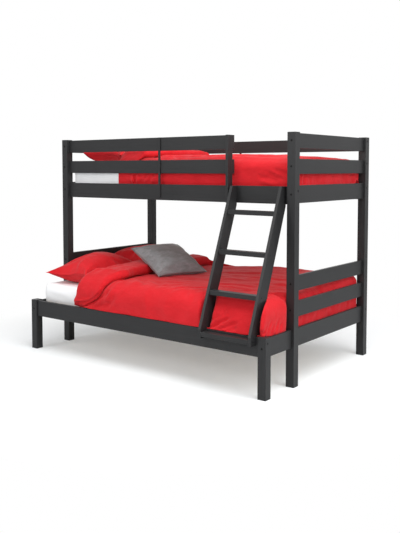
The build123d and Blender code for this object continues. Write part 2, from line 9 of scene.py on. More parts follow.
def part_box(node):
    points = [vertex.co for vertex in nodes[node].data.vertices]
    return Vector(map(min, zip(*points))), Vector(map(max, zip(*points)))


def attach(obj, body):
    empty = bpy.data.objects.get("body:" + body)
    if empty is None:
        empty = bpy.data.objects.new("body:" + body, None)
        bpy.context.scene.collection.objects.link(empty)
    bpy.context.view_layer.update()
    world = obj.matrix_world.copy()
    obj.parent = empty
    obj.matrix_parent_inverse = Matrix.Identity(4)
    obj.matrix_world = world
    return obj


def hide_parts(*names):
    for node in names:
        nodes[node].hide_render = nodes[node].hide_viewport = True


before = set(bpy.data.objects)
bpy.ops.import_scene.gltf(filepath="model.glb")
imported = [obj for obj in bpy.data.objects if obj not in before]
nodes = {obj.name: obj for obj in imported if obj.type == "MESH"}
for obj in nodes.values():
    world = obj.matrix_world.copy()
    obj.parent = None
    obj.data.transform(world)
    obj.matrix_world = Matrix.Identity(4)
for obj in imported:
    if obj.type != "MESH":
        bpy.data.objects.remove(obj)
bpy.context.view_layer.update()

scene = bpy.context.scene

# The bed's own corner: the outer left face and the front face of the upper posts, on the floor
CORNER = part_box("post_front_left")[0]


def spot(along, back, up):
    """A place given from the bed's left end, from the front of the upper posts and from the floor."""
    return Vector((CORNER.x + along, CORNER.y + back, up))


# Camera: it stands right of the bed's front and looks level, with the picture shifted down
CAMERA_PLACE = (3.1542, -4.0258, 1.3033)
CAMERA_TURN = 37.6489
CAMERA_DROP = 3.4655
LENS = 48.72
PICTURE_SHIFT = -0.10


def make_camera():
    view = bpy.data.objects.new("camera", bpy.data.cameras.new("camera"))
    view.location = CAMERA_PLACE
    view.rotation_euler = (radians(90 - CAMERA_DROP), 0, radians(CAMERA_TURN))
    view.data.lens = LENS
    view.data.sensor_width = 36
    view.data.shift_y = PICTURE_SHIFT
    scene.collection.objects.link(view)
    scene.camera = view


make_camera()


# Shader nodes as Python expressions
class Wire:
    """A shader socket that can be added, subtracted and multiplied."""

    def __init__(self, finish, socket):
        self.finish = finish
        self.socket = socket

    def maths(self, operation, first, second):
        return self.finish.node("ShaderNodeMath", {"operation": operation}, {0: first, 1: second})

    def __add__(self, other):
        return self.maths("ADD", self, other)

    def __radd__(self, other):
        return self.maths("ADD", other, self)

    def __sub__(self, other):
        return self.maths("SUBTRACT", self, other)

    def __rsub__(self, other):
        return self.maths("SUBTRACT", other, self)

    def __mul__(self, other):
        return self.maths("MULTIPLY", self, other)

    def __rmul__(self, other):
        return self.maths("MULTIPLY", other, self)


class Finish:
    """A material: its shader's constants are set here, and node() adds what varies."""

    def __init__(self, name, constants):
        self.material = bpy.data.materials.new(name)
        self.material.use_nodes = True
        self.tree = self.material.node_tree
        self.shader = self.tree.nodes["Principled BSDF"]
        for socket, value in constants.items():
            self.shader.inputs[socket].default_value = value

    def feed(self, socket, value):
        if isinstance(value, Wire):
            self.tree.links.new(value.socket, socket)
        else:
            socket.default_value = value

    def node(self, kind, settings=None, sockets=None, output=0):
        made = self.tree.nodes.new(kind)
        for name, value in (settings or {}).items():
            if name == "stops":
                for element, (position, colour) in zip(self.ramp_elements(made, len(value)), value):
                    element.position = position
                    element.color = colour
            else:
                setattr(made, name, value)
        for place, value in (sockets or {}).items():
            self.feed(made.inputs[place], value)
        return Wire(self, made.outputs[output])

    @staticmethod
    def ramp_elements(made, count):
        elements = made.color_ramp.elements
        while len(elements) < count:
            elements.new(1.0)
        return list(elements)

    def place(self, scale=(1, 1, 1), turn=(0, 0, 0)):
        """The object's own coordinates in metres, stretched and turned."""
        own = self.node("ShaderNodeTexCoord", output="Object")
        return self.node("ShaderNodeMapping", {}, {"Vector": own, "Scale": scale, "Rotation": turn})

    def cloud(self, vector, scale, detail=4.0, roughness=0.55, distortion=0.0):
        sockets = {
            "Vector": vector,
            "Scale": scale,
            "Detail": detail,
            "Roughness": roughness,
            "Distortion": distortion,
        }
        return self.node("ShaderNodeTexNoise", {}, sockets)

    def spread(self, value, low, high, to_low=0.0, to_high=1.0):
        """The value moved from one range to another, and kept inside it."""
        return self.node("ShaderNodeMapRange", {}, {0: value, 1: low, 2: high, 3: to_low, 4: to_high})

    def blend(self, factor, first, second, blend_type="MIX"):
        settings = {"data_type": "RGBA", "blend_type": blend_type}
        return self.node("ShaderNodeMix", settings, {0: factor, 6: first, 7: second}, output=2)

    def bump(self, height, strength, distance):
        sockets = {"Height": height, "Strength": strength, "Distance": distance}
        return self.node("ShaderNodeBump", {}, sockets)

    def set(self, **wires):
        for name, wire in wires.items():
            self.feed(self.shader.inputs[name.replace("_", " ")], wire)
        return self.material


def grey(level, tint=(1.0, 1.0, 1.0)):
    return (*(level * share for share in tint), 1.0)


ACROSS_GRAIN = 46.0
ALONG_GRAIN = 2.2


def grain_scale(axis):
    """Noise stretched along one axis, so that it lies like wood grain."""
    return tuple(ALONG_GRAIN if number == axis else ACROSS_GRAIN for number in range(3))


def anthracite(name, axis):
    """Satin anthracite lacquer over planed pine: the grain shows through as faint lines."""
    coat = Finish(name, {"IOR": 1.46, "Specular IOR Level": 0.28})
    lines = coat.cloud(coat.place(grain_scale(axis)), 3.0, detail=5.0, roughness=0.6, distortion=0.6)
    patches = coat.cloud(coat.place(), 2.4, detail=3.0)
    specks = coat.cloud(coat.place(), 260.0, detail=2.0)
    tone = coat.spread(0.55 * lines + 0.45 * patches, 0.35, 0.65)
    bluish = (1.0, 1.0, 1.04)
    colour = coat.blend(tone, grey(0.0175, bluish), grey(0.0245, bluish))
    rough = coat.spread(0.6 * patches + 0.4 * lines, 0.3, 0.7, 0.36, 0.5)
    relief = coat.bump(0.8 * lines + 0.2 * specks, 0.35, 0.0006)
    return coat.set(Base_Color=colour, Roughness=rough, Normal=relief)


def bare_wood(name, axis, pale, deep):
    """Unfinished planed wood: growth lines along the board, with darker streaks."""
    wood = Finish(name, {"IOR": 1.45})
    place = wood.place(grain_scale(axis))
    lines = wood.cloud(place, 1.6, detail=6.0, roughness=0.65, distortion=1.2)
    fine = wood.cloud(place, 9.0, detail=3.0)
    patches = wood.cloud(wood.place(), 5.0, detail=2.0)
    streaks = wood.spread(lines, 0.42, 0.62)
    tone = wood.spread(0.7 * streaks + 0.3 * patches, 0.1, 0.9)
    colour = wood.blend(tone, pale, deep)
    rough = wood.spread(fine, 0.3, 0.7, 0.55, 0.72)
    relief = wood.bump(0.6 * lines + 0.4 * fine, 0.4, 0.0005)
    return wood.set(Base_Color=colour, Roughness=rough, Normal=relief)


def black_zinc_with_painted_hole_shade():
    """Black zinc plating, made near-black so that it also carries painted shade for the holes the heads sit
    in: dark metal with a faint mottle.
    """
    metal = Finish("black_zinc_with_painted_hole_shade", {"Metallic": 0.6, "Specular IOR Level": 0.2})
    mottle = metal.cloud(metal.place(), 180.0, detail=3.0)
    # near-black tone: partly the plating's own colour, partly painted shade of the shaded bolt holes
    colour = metal.blend(mottle, grey(0.006), grey(0.014, (1.0, 1.0, 0.96)))
    rough = metal.spread(mottle, 0.3, 0.7, 0.45, 0.6)
    return metal.set(Base_Color=colour, Roughness=rough)


WEAVE_SCALE = 70.0


def weave(cloth):
    """Fine crossing threads: bands along each of the three directions, laid over each other."""
    place = cloth.place()
    sockets = {"Vector": place, "Scale": WEAVE_SCALE, "Distortion": 0.4, "Detail": 1.0}
    along = cloth.node("ShaderNodeTexWave", {"bands_direction": "X"}, sockets, output=1)
    across = cloth.node("ShaderNodeTexWave", {"bands_direction": "Y"}, sockets, output=1)
    upright = cloth.node("ShaderNodeTexWave", {"bands_direction": "Z"}, sockets, output=1)
    return 0.34 * along + 0.33 * across + 0.33 * upright


def cotton(name, shade, light, creases, shine):
    """Woven cotton: a fine weave, soft small creases and slow changes of tone."""
    cloth = Finish(name, {"Specular IOR Level": shine, "Sheen Weight": 0.08, "Sheen Roughness": 0.5})
    soft = cloth.cloud(cloth.place((0.7, 1.6, 1.6)), 7.0, detail=4.0, distortion=0.8)
    crumple = cloth.cloud(cloth.place((1.0, 2.4, 1.6)), 16.0, detail=5.0, roughness=0.6, distortion=1.4)
    colour = cloth.blend(cloth.spread(soft, 0.3, 0.7), shade, light)
    rough = cloth.spread(crumple, 0.3, 0.7, 0.70, 0.86)
    folds = cloth.bump(0.75 * crumple + 0.25 * soft, creases, 0.012)
    threads = {"Height": weave(cloth), "Strength": 0.12, "Distance": 0.0004, "Normal": folds}
    relief = cloth.node("ShaderNodeBump", {}, threads)
    return cloth.set(Base_Color=colour, Roughness=rough, Normal=relief)


def velvet():
    """Short-pile grey velvet: patches where the pile lies another way, and a strong sheen."""
    pile = Finish("grey_velvet", {"Sheen Weight": 0.55, "Sheen Roughness": 0.3, "IOR": 1.4})
    pile.shader.inputs["Sheen Tint"].default_value = grey(0.9)
    patches = pile.cloud(pile.place((1.0, 0.6, 1.4), (0.3, 0.2, 0.6)), 9.0, detail=3.0, distortion=2.0)
    streaks = pile.cloud(pile.place((5.0, 1.0, 5.0), (0.2, 0.1, 0.5)), 14.0, detail=4.0, distortion=0.8)
    hairs = pile.cloud(pile.place(), 900.0, detail=2.0)
    tone = pile.spread(0.6 * patches + 0.4 * streaks, 0.36, 0.64)
    cool = (0.97, 1.0, 1.02)
    colour = pile.blend(tone, grey(0.18, cool), grey(0.28, cool))
    rough = pile.spread(patches, 0.3, 0.7, 0.7, 0.9)
    relief = pile.bump(0.7 * hairs + 0.3 * streaks, 0.35, 0.0012)
    return pile.set(Base_Color=colour, Roughness=rough, Normal=relief)


paint = [anthracite(f"anthracite_{letter}", axis) for axis, letter in enumerate("xyz")]
pine_pale = (0.72, 0.52, 0.31, 1.0)
pine_deep = (0.52, 0.32, 0.15, 1.0)
pine = [bare_wood(f"bare_pine_{letter}", axis, pine_pale, pine_deep) for axis, letter in enumerate("xy")]
beech = bare_wood("beech_dowel", 0, (0.70, 0.50, 0.32, 1.0), (0.58, 0.38, 0.22, 1.0))
zinc = black_zinc_with_painted_hole_shade()
red_shade = (0.54, 0.008, 0.013, 1.0)
red_light = (0.61, 0.012, 0.019, 1.0)
red_cotton = cotton("red_cotton", red_shade, red_light, 0.34, 0.16)
sheet_shade = (0.86, 0.865, 0.875, 1.0)
sheet_light = (0.90, 0.90, 0.91, 1.0)
white_sheet = cotton("white_sheet", sheet_shade, sheet_light, 0.16, 0.2)
grey_velvet = velvet()

# Fasteners in black zinc, darkened partly as painted shade for the holes they sit in
DARK_METAL_WITH_PAINTED_SHADE = ("bed_bolts", "barrel_nuts", "long_screws", "batten_screws")
SLATS = ("upper_slats", "lower_slats")


def finish_for(name):
    """The finish of one piece of the frame, with the grain along its longest side."""
    low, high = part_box(name)
    sides = list(high - low)
    axis = sides.index(max(sides))
    if name in DARK_METAL_WITH_PAINTED_SHADE:
        return zinc
    if name == "dowels":
        return beech
    if name in SLATS:
        return pine[1]
    if "bearer" in name:
        return pine[0]
    return paint[axis]


def dress_frame():
    for name, node in nodes.items():
        node.data.materials.clear()
        node.data.materials.append(finish_for(name))


dress_frame()


# Meshes and simulated cloth
def make_piece(name, mesh, material, body, soften=0):
    piece = bpy.data.objects.new(name, mesh)
    scene.collection.objects.link(piece)
    mesh.materials.clear()
    mesh.materials.append(material)
    mesh.shade_smooth()
    if soften:
        smooth = piece.modifiers.new("soften", "SUBSURF")
        smooth.levels = soften
        smooth.render_levels = soften
    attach(piece, body)
    return piece


def finished(name, bm):
    mesh = bpy.data.meshes.new(name)
    bmesh.ops.recalc_face_normals(bm, faces=bm.faces)
    bm.to_mesh(mesh)
    bm.free()
    return mesh


def read_vectors(mesh, field):
    values = np.empty(len(mesh.vertices) * 3, np.float32)
    mesh.vertices.foreach_get(field, values)
    return values.reshape(-1, 3).astype(float)


def move_points(mesh, points):
    mesh.vertices.foreach_set("co", points.astype(np.float32).ravel())
    mesh.update()


def ease(value, start, end):
    """0 before start, 1 after end, and a smooth rise between."""
    share = np.clip((value - start) / (end - start), 0, 1)
    return share * share * (3 - 2 * share)


def hump(value, low, high, soft):
    """1 between low and high, easing to 0 outside."""
    return ease(value, low - soft, low + soft) * (1 - ease(value, high - soft, high + soft))


def waves(points, scale, seed):
    """Slow noise between -1 and 1 at each point."""
    shift = Vector((seed, 2.3 * seed, -seed))
    return np.array([noise.noise(Vector(point * scale) + shift) for point in points])


def rumples(points, scale, seed):
    """Narrow ridges between broad hollows, as crumpled cotton has, from -1 to 1."""
    return (1 - np.abs(waves(points, scale, seed)) * 3.2).clip(-1, 1)


def crease(points, normals, creases):
    """The depth at each point of creases given as start, end, half width and depth."""
    depth = np.zeros(len(points))
    for start, end, width, deep in creases:
        start = np.array(start)
        line = np.array(end) - start
        share = np.clip((points - start) @ line / (line @ line), 0, 1)
        offset = points - start - share[:, None] * line
        over = (offset * normals).sum(axis=1)
        away = np.linalg.norm(offset - over[:, None] * normals, axis=1) / width
        near_end = np.clip(4 * np.minimum(share, 1 - share), 0.25, 1)
        valley = np.exp(-(away**2))
        lips = np.exp(-((away - 2.1) ** 2))
        depth += deep * near_end * (0.45 * lips - valley) * np.exp(-((over / 0.045) ** 2))
    return depth


def blow_up(mesh, pressure, swell, reach, frames, stiffness, bending):
    """Runs cloth over a closed mesh with air pressed in, and keeps each point within its reach."""
    start = read_vectors(mesh, "co")
    bag = bpy.data.objects.new("bag", mesh)
    scene.collection.objects.link(bag)
    settings = bag.modifiers.new("Cloth", "CLOTH").settings
    settings.quality = 6
    settings.mass = 0.25
    settings.tension_stiffness = stiffness
    settings.compression_stiffness = stiffness
    settings.shear_stiffness = stiffness / 3
    settings.bending_stiffness = bending
    settings.use_pressure = True
    settings.uniform_pressure_force = pressure
    settings.shrink_min = -swell
    settings.effector_weights.gravity = 0
    for number in range(1, frames + 1):
        scene.frame_set(number)
    grown = bag.evaluated_get(bpy.context.evaluated_depsgraph_get())
    end = read_vectors(grown.data, "co")
    bpy.data.objects.remove(bag)
    scene.frame_set(1)
    move = end - start
    length = np.linalg.norm(move, axis=1)
    kept = reach * np.tanh(length / reach) / np.maximum(length, 1e-9)
    move_points(mesh, start + move * kept[:, None])


# Pillows and the cushion: two cloths sewn at the rim, filled by simulation and laid in place
def sewn_bag(name, length, width, thick, squares, crowns):
    """A closed bag about the origin, long along X, full in the middle and pulled in at the sides.

    Crowns are the powers of the top and the underside: the lower, the fuller that face is near its rim.
    """
    bm = bmesh.new()
    across = round(squares * width / length)
    bmesh.ops.create_grid(bm, x_segments=squares, y_segments=across, size=1.0)
    rim = [v for v in bm.verts if v.is_boundary]
    inner = [v for v in bm.verts if not v.is_boundary]
    bmesh.ops.translate(bm, vec=(0, 0, 1), verts=inner)
    copy = bmesh.ops.duplicate(bm, geom=bm.verts[:] + bm.edges[:] + bm.faces[:])
    lower = [item for item in copy["geom"] if isinstance(item, bmesh.types.BMVert)]
    bmesh.ops.scale(bm, vec=(1, 1, -1), verts=lower)
    bmesh.ops.remove_doubles(bm, verts=rim + [v for v in lower if v.co.z == 0], dist=0.001)
    mesh = finished(name, bm)
    points = read_vectors(mesh, "co")
    flat = 0.45 * points[:, :2] + 0.55 * np.sin(points[:, :2] * pi / 2)
    dome = np.prod(1 - np.abs(flat) ** 2.3, axis=1).clip(0, 1)
    top_crown, under_crown = crowns
    crown = np.where(points[:, 2] > 0, dome**under_crown, dome**top_crown)
    pull = 1 - 0.075 * (1 - flat[:, ::-1] ** 2) * np.abs(flat) ** 2
    points[:, :2] = flat * pull * (length / 2, width / 2)
    points[:, 2] *= crown * thick / 2
    move_points(mesh, points)
    return mesh


class Pillow:
    """A stuffed piece: its size, its three directions, its middle, and the level it rests on."""

    def __init__(self, name, node, body, size, axes, centre, rest, squares, crowns=(0.74, 0.72), droop=0.0):
        self.name = name
        self.node = node
        self.body = body
        self.size = size
        self.axes = np.array([Vector(axis).normalized() for axis in axes])
        self.centre = np.array(centre)
        self.rest = rest
        self.squares = squares
        self.crowns = crowns
        self.droop = droop

    def shape(self, creases, seed, ruck):
        length, width, thick = self.size
        mesh = sewn_bag(self.name, length, width, thick, self.squares, self.crowns)
        blow_up(mesh, 4.0, 0.035, 0.014, 18, 10.0, 0.25)
        points = read_vectors(mesh, "co")
        normals = read_vectors(mesh, "normal")
        full = (np.abs(points[:, 2]) / (thick / 2)).clip(0, 1)
        points += normals * (ruck * (0.3 + full) * rumples(points * (1.0, 0.8, 1.0), 7.0, seed))[:, None]
        points += normals * (crease(points, normals, creases) * full**0.3)[:, None]
        corner = (0.5 - points[:, 0] / length).clip(0, 1) * (0.5 - points[:, 1] / width).clip(0, 1)
        beside = ((corner - 0.28) / 0.72).clip(0, 1)
        top = points[:, 2] < 0
        points[:, :2] *= 1 + 1.4 * self.droop * beside[:, None] ** 2
        points = points @ self.axes + self.centre
        points[:, 2] -= self.droop * (corner**1.5 + 4 * top * beside * (1 - beside))
        points[:, 2] = np.maximum(points[:, 2], self.rest)
        move_points(mesh, points)
        return mesh


def lay_pillow(pillow, mesh, material):
    piece = make_piece(pillow.name, mesh, material, pillow.body, soften=1)
    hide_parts(pillow.node)


PILLOW_TILT = radians(3)
PILLOW_AXES = (
    (0, 1, 0),
    (cos(PILLOW_TILT), 0, -sin(PILLOW_TILT)),
    (-sin(PILLOW_TILT), 0, -cos(PILLOW_TILT)),
)
PILLOW_SQUARES = 50
LIFT = 0.001
lower_low, lower_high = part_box("lower_mattress")
upper_low, upper_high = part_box("upper_mattress")


def middle(node):
    low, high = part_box(node)
    return (low + high) / 2


def pillow_for(name, node, body, mattress_top, reach_out, crowns, droop):
    """A pillow as large as its node, reaching out past it towards the head, its near corner drooping."""
    low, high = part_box(node)
    size = (high.y - low.y, high.x - low.x + reach_out, (high.z - low.z) * 0.99)
    centre = middle(node) - Vector((reach_out / 2, 0, 0))
    rest = mattress_top + LIFT
    return Pillow(name, node, body, size, PILLOW_AXES, centre, rest, PILLOW_SQUARES, crowns, droop)


# Creases run from start to end in a pillow's own length, width and thickness
front_creases = (
    ((-0.20, -0.12, -0.07), (-0.06, 0.02, -0.10), 0.022, 0.012),
    ((-0.27, 0.05, -0.04), (-0.16, 0.02, -0.08), 0.014, 0.007),
    ((0.10, 0.05, -0.09), (0.25, 0.16, -0.05), 0.016, 0.008),
    ((0.02, 0.12, -0.08), (0.12, 0.19, -0.04), 0.012, 0.007),
    ((0.14, -0.16, -0.05), (0.26, -0.06, -0.05), 0.015, 0.008),
)
back_creases = (
    ((-0.26, 0.02, -0.05), (-0.10, 0.06, -0.09), 0.014, 0.008),
    ((-0.24, 0.12, -0.03), (-0.12, 0.15, -0.06), 0.012, 0.007),
    ((-0.22, -0.10, -0.06), (-0.08, -0.03, -0.10), 0.016, 0.009),
    ((0.05, 0.03, -0.10), (0.22, 0.13, -0.06), 0.016, 0.008),
)
top_creases = (
    ((-0.30, 0.05, -0.05), (-0.12, 0.02, -0.10), 0.018, 0.010),
    ((-0.28, -0.12, -0.04), (-0.16, -0.02, -0.09), 0.014, 0.008),
    ((0.10, 0.02, -0.10), (0.28, 0.12, -0.05), 0.018, 0.009),
)
# Each pillow's name, node, body, mattress, reach past the node, crowns, droop, creases, seed and rucks
PILLOWS = (
    (
        ("front_pillow", "lower_pillow_front", "front_pillow", lower_high.z, 0.020, (0.74, 0.80), 0.032),
        (front_creases, 2.1, 0.003),
    ),
    (
        ("back_pillow", "lower_pillow_back", "back_pillow", lower_high.z, 0.0, (0.50, 0.72), 0.0),
        (back_creases, 6.4, 0.004),
    ),
    (
        ("top_pillow", "upper_pillow", "upper_bedding", upper_high.z, 0.018, (0.70, 0.46), 0.0),
        (top_creases, 9.2, 0.003),
    ),
)
for build, folds in PILLOWS:
    pillow = pillow_for(*build)
    lay_pillow(pillow, pillow.shape(*folds), red_cotton)

CUSHION_SIDE = 0.435
CUSHION_THICK = 0.135
CUSHION_TURN = radians(17)
CUSHION_RECLINE = radians(23)
cushion_along = Vector((sin(CUSHION_TURN), cos(CUSHION_TURN), 0))
cushion_across = Vector(
    (
        cos(CUSHION_TURN) * cos(CUSHION_RECLINE),
        -sin(CUSHION_TURN) * cos(CUSHION_RECLINE),
        -sin(CUSHION_RECLINE),
    )
)
cushion_face = cushion_across.cross(cushion_along)
cushion_creases = (
    ((0.20, -0.20, 0.01), (0.06, -0.06, 0.06), 0.016, 0.007),
    ((-0.19, 0.19, 0.01), (-0.10, 0.10, 0.05), 0.012, 0.004),
    ((-0.19, -0.19, 0.01), (-0.09, -0.10, 0.05), 0.012, 0.005),
    ((0.19, 0.20, 0.01), (0.10, 0.11, 0.05), 0.012, 0.005),
)
velvet_cushion = Pillow(
    "velvet_cushion",
    "scatter_cushion",
    "cushion",
    (CUSHION_SIDE, CUSHION_SIDE, CUSHION_THICK),
    (cushion_across, cushion_along, cushion_face),
    middle("scatter_cushion") + cushion_face * 0.010,
    lower_high.z,
    46,
)
cushion_mesh = velvet_cushion.shape(cushion_creases, 4.4, 0.001)
lay_pillow(velvet_cushion, cushion_mesh, grey_velvet)


# Mattresses: foam blocks in fitted sheets, with soft ripples along the sides
def mattress_mesh(name, low, high):
    size = high - low
    bm = bmesh.new()
    bmesh.ops.create_cube(bm, size=1.0)
    bmesh.ops.scale(bm, vec=size, verts=bm.verts)
    bmesh.ops.translate(bm, vec=(low + high) / 2, verts=bm.verts)
    upright = [e for e in bm.edges if abs(e.verts[0].co.z - e.verts[1].co.z) > size.z / 2]
    bmesh.ops.bevel(bm, geom=upright, offset=0.022, segments=5, profile=0.5, affect="EDGES", material=-1)
    level = [e for e in bm.edges if abs(e.calc_face_angle(0)) > 1.2]
    bmesh.ops.bevel(bm, geom=level, offset=0.02, segments=4, profile=0.5, affect="EDGES", material=-1)
    block = bpy.data.objects.new(name, finished(name, bm))
    scene.collection.objects.link(block)
    remesh = block.modifiers.new("remesh", "REMESH")
    remesh.mode = "VOXEL"
    remesh.voxel_size = 0.018
    mesh = bpy.data.meshes.new_from_object(block.evaluated_get(bpy.context.evaluated_depsgraph_get()))
    bpy.data.objects.remove(block)
    return mesh


def make_mattress(name, node, body, lean):
    """The front of the lower mattress squeezes forward at its free end, by lean."""
    low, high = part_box(node)
    mesh = mattress_mesh(name, low, high)
    points = read_vectors(mesh, "co")
    normals = read_vectors(mesh, "normal")
    side = 1 - np.abs(normals[:, 2])
    ripple = rumples(points * (1.0, 1.0, 2.6), 3.4, 3.1) + 0.6 * rumples(points * (1.0, 1.0, 3.0), 8.0, 7.7)
    points += normals * (ripple * (0.0012 + 0.0014 * side) - 0.0012)[:, None]
    front = 1 - ease(points[:, 1], low.y, low.y + 0.25)
    loose = 1 - ease(points[:, 0], low.x + 0.45, low.x + 1.1)
    swell = 0.75 + 0.25 * np.sin((points[:, 2] - low.z) / (high.z - low.z) * pi)
    points[:, 1] -= lean * front * loose * swell
    points[:, 0] -= 0.005 * ease(points[:, 0], high.x - 0.10, high.x)
    dent = crease(points, normals, mattress_creases)
    points += normals * dent[:, None]
    points[:, 2] = np.maximum(points[:, 2], low.z)
    move_points(mesh, points)
    mattress = make_piece(name, mesh, white_sheet, body, soften=1)
    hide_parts(node)


def at(along, back, up):
    """A place as plain numbers, from the bed's left end, the front of the posts and the floor."""
    return tuple(spot(along, back, up))


mattress_creases = (
    (at(0.06, -0.24, 0.445), at(0.30, -0.24, 0.452), 0.010, 0.004),
    (at(0.10, -0.24, 0.395), at(0.34, -0.24, 0.385), 0.014, 0.003),
    (at(0.07, -0.15, 0.472), at(0.30, -0.19, 0.472), 0.014, 0.003),
)
make_mattress("lower_foam_mattress", "lower_mattress", "frame", 0.040)
make_mattress("upper_foam_mattress", "upper_mattress", "upper_bedding", 0.0)


# Duvets: a folded loop of wadding, carried over the mattress from the front hem to the back
class Wrap:
    """The line across the bed that a duvet lies on: up the mattress, over it, and down behind or not."""

    def __init__(self, front, back, top, front_hem, back_hem, radius, near):
        turn = np.linspace(0, pi / 2, 13)
        across = [front, *(front + radius * (1 - np.cos(turn)))]
        up = [front_hem, *(top - radius * (1 - np.sin(turn)))]
        if back_hem is None:
            across.append(back)
            up.append(top)
        else:
            across += [*(back - radius * (1 - np.sin(turn))), back]
            up += [*(top - radius * (1 - np.cos(turn))), back_hem]
        line = np.array([across, up]).T
        run = np.r_[0, np.cumsum(np.linalg.norm(np.diff(line, axis=0), axis=1))]
        close = np.r_[0, 0.0025, np.arange(0.008, near, 0.010)]
        far = run[-1] - (close[::-1] if back_hem is not None else np.zeros(1))
        between = np.linspace(near, far[0], round((far[0] - near) / 0.02))
        self.run = np.unique(np.r_[close, between, far].round(6))
        self.length = run[-1]
        self.line = np.array([np.interp(self.run, run, line[:, 0]), np.interp(self.run, run, line[:, 1])]).T
        tangent = np.gradient(self.line, axis=0)
        tangent /= np.linalg.norm(tangent, axis=1, keepdims=True)
        self.out = np.array([-tangent[:, 1], tangent[:, 0]]).T


def stretch(start, end, step):
    return np.linspace(start, end, max(2, round(abs(end - start) / step) + 1))


FOOT_DROP = 0.140


def fold_section(roll, edge, foot):
    """The duvet's section along the bed: place along, layers up, metres down, and 1 where it shows."""
    rows = []
    turn = np.radians(np.linspace(270, 90, 15))
    rows += [(roll + 0.055 + 0.055 * cos(t), 1 + sin(t), 0, 1) for t in turn]
    over = stretch(roll + 0.068, edge - 0.03, 0.013)
    rows += [(x, 2 - 0.06 * ease(x, roll + 0.08, edge), 0, 1) for x in over]
    turn = np.radians(np.linspace(75, -75, 9))
    rows += [(edge - 0.024 + 0.024 * cos(t), 1.49 + 0.44 * sin(t), 0, 1) for t in turn]
    rows += [(x, 1.03, 0, 0) for x in stretch(edge - 0.035, roll + 0.10, 0.02)]
    rows += [(x, 0.95, 0, 0) for x in stretch(roll + 0.11, edge - 0.03, 0.02)]
    beyond = stretch(edge - 0.018, edge + 0.06, 0.012)
    rows += [(x, 0.94 + 0.06 * ease(x, edge, edge + 0.05), 0, 1) for x in beyond]
    rows += [(x, 1, 0, 1) for x in stretch(edge + 0.073, foot - 0.46, 0.015)]
    rows += [(x, 1, 0, 1) for x in stretch(foot - 0.449, foot - 0.06, 0.0095)]
    turn = np.radians(np.linspace(82, 0, 6))
    rows += [(foot - 0.05 + 0.05 * cos(t), 1, -0.05 + 0.05 * sin(t), 1) for t in turn]
    rows += [(foot, 1 - s, -0.05 - (FOOT_DROP - 0.05) * s, 1) for s in np.linspace(0.1, 1, 11)]
    rows += [(foot - 0.010, 0, -FOOT_DROP * s, 0) for s in np.linspace(1, 0.1, 7)]
    rows += [(x, 0, 0, 0) for x in stretch(foot - 0.03, roll + 0.06, 0.05)]
    return np.array(rows)


def sheath(name, wrap, section, shape, squeeze):
    """A closed mesh with the section at each place of the wrap, and each point's thickness there.

    Where the wrap turns, layers reach no further sideways than squeeze, and rise instead.
    """
    bm = bmesh.new()
    rings = []
    thickness = []
    for run, (across, up), (out_y, out_z) in zip(wrap.run, wrap.line, wrap.out):
        along, height, thick = shape(section, run, across)
        sideways = out_y * height
        kept = squeeze * np.tanh(sideways / squeeze)
        back = across + kept
        top = up + out_z * height + 0.5 * np.abs(sideways - kept) * np.sign(height)
        ring = [bm.verts.new(place) for place in zip(along, back, top)]
        for first, second in zip(ring, ring[1:] + ring[:1]):
            bm.edges.new((first, second))
        rings.append(ring)
        thickness.append(thick)
    for first, second in zip(rings, rings[1:]):
        pairs = [(ring[i - 1], ring[i]) for ring in (first, second) for i in range(len(ring))]
        edges = [bm.edges.get(pair) for pair in pairs]
        bmesh.ops.bridge_loops(bm, edges=edges)
    for ring in (rings[0], rings[-1]):
        bm.faces.new(ring)
    return finished(name, bm), np.concatenate(thickness)


def layered(section, base, flap, drop):
    """The section's heights: the lower layer's thickness, the flap's, and how far the foot hangs."""
    layer = section[:, 1]
    height = np.minimum(layer, 1) * base + np.maximum(layer - 1, 0) * flap
    return height + section[:, 2] * drop / FOOT_DROP


def keep_off(points, low, high):
    """Moves points that lie in a box out through its nearest face."""
    low = np.array(low)
    high = np.array(high)
    within = np.all((points > low) & (points < high), axis=1)
    caught = points[within]
    depths = np.concatenate([caught - low, high - caught], axis=1)
    nearest = depths.argmin(axis=1)
    rows = np.arange(len(caught))
    axis = nearest % 3
    caught[rows, axis] = np.where(nearest < 3, low[axis], high[axis])
    points[within] = caught
    return points


stringer_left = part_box("ladder_stringer_left")
stringer_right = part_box("ladder_stringer_right")
LADDER_LEAN = 0.3858
LADDER_BACK = CORNER.y - 0.2097
LADDER_LEVEL = 0.472


def room_between(level):
    """How far the duvet swells forward between the stringers, at each level."""
    return 0.044 - 0.016 * ease(level, 0.42, 0.54)


def off_ladder(points):
    """Presses the duvet back where the stringers lean on it; it swells between them."""
    limit = LADDER_BACK + (points[:, 2] - LADDER_LEVEL) * LADDER_LEAN + 0.002
    x = points[:, 0]
    pressed = np.zeros(len(points))
    for low, high in (stringer_left, stringer_right):
        pressed = np.maximum(pressed, hump(x, low.x - 0.012, high.x + 0.012, 0.012))
    between = hump(x, stringer_left[0].x, stringer_right[1].x, 0.02)
    amount = np.maximum(pressed, between)
    limit = limit - room_between(points[:, 2]) * (1 - pressed) * between
    points[:, 1] += np.clip(limit - points[:, 1], 0, None) * amount
    return points


def foot_limit(points, free):
    """Keeps the foot of a duvet behind the posts and the end rails."""
    y = points[:, 1] - CORNER.y
    post = np.maximum(hump(y, -0.020, 0.074, 0.016), ease(y, 0.943, 0.956))
    railed = ease(y, 0.04, 0.06) if free else 1.0
    limit = CORNER.x + 1.9815 + 0.016 * (1 - railed)
    limit = limit + (CORNER.x + 1.9632 - limit) * post
    points[:, 0] = np.minimum(points[:, 0], limit)
    return points


CREASE_STRENGTH = 1.7
DEEPEST_CREASE = 0.45


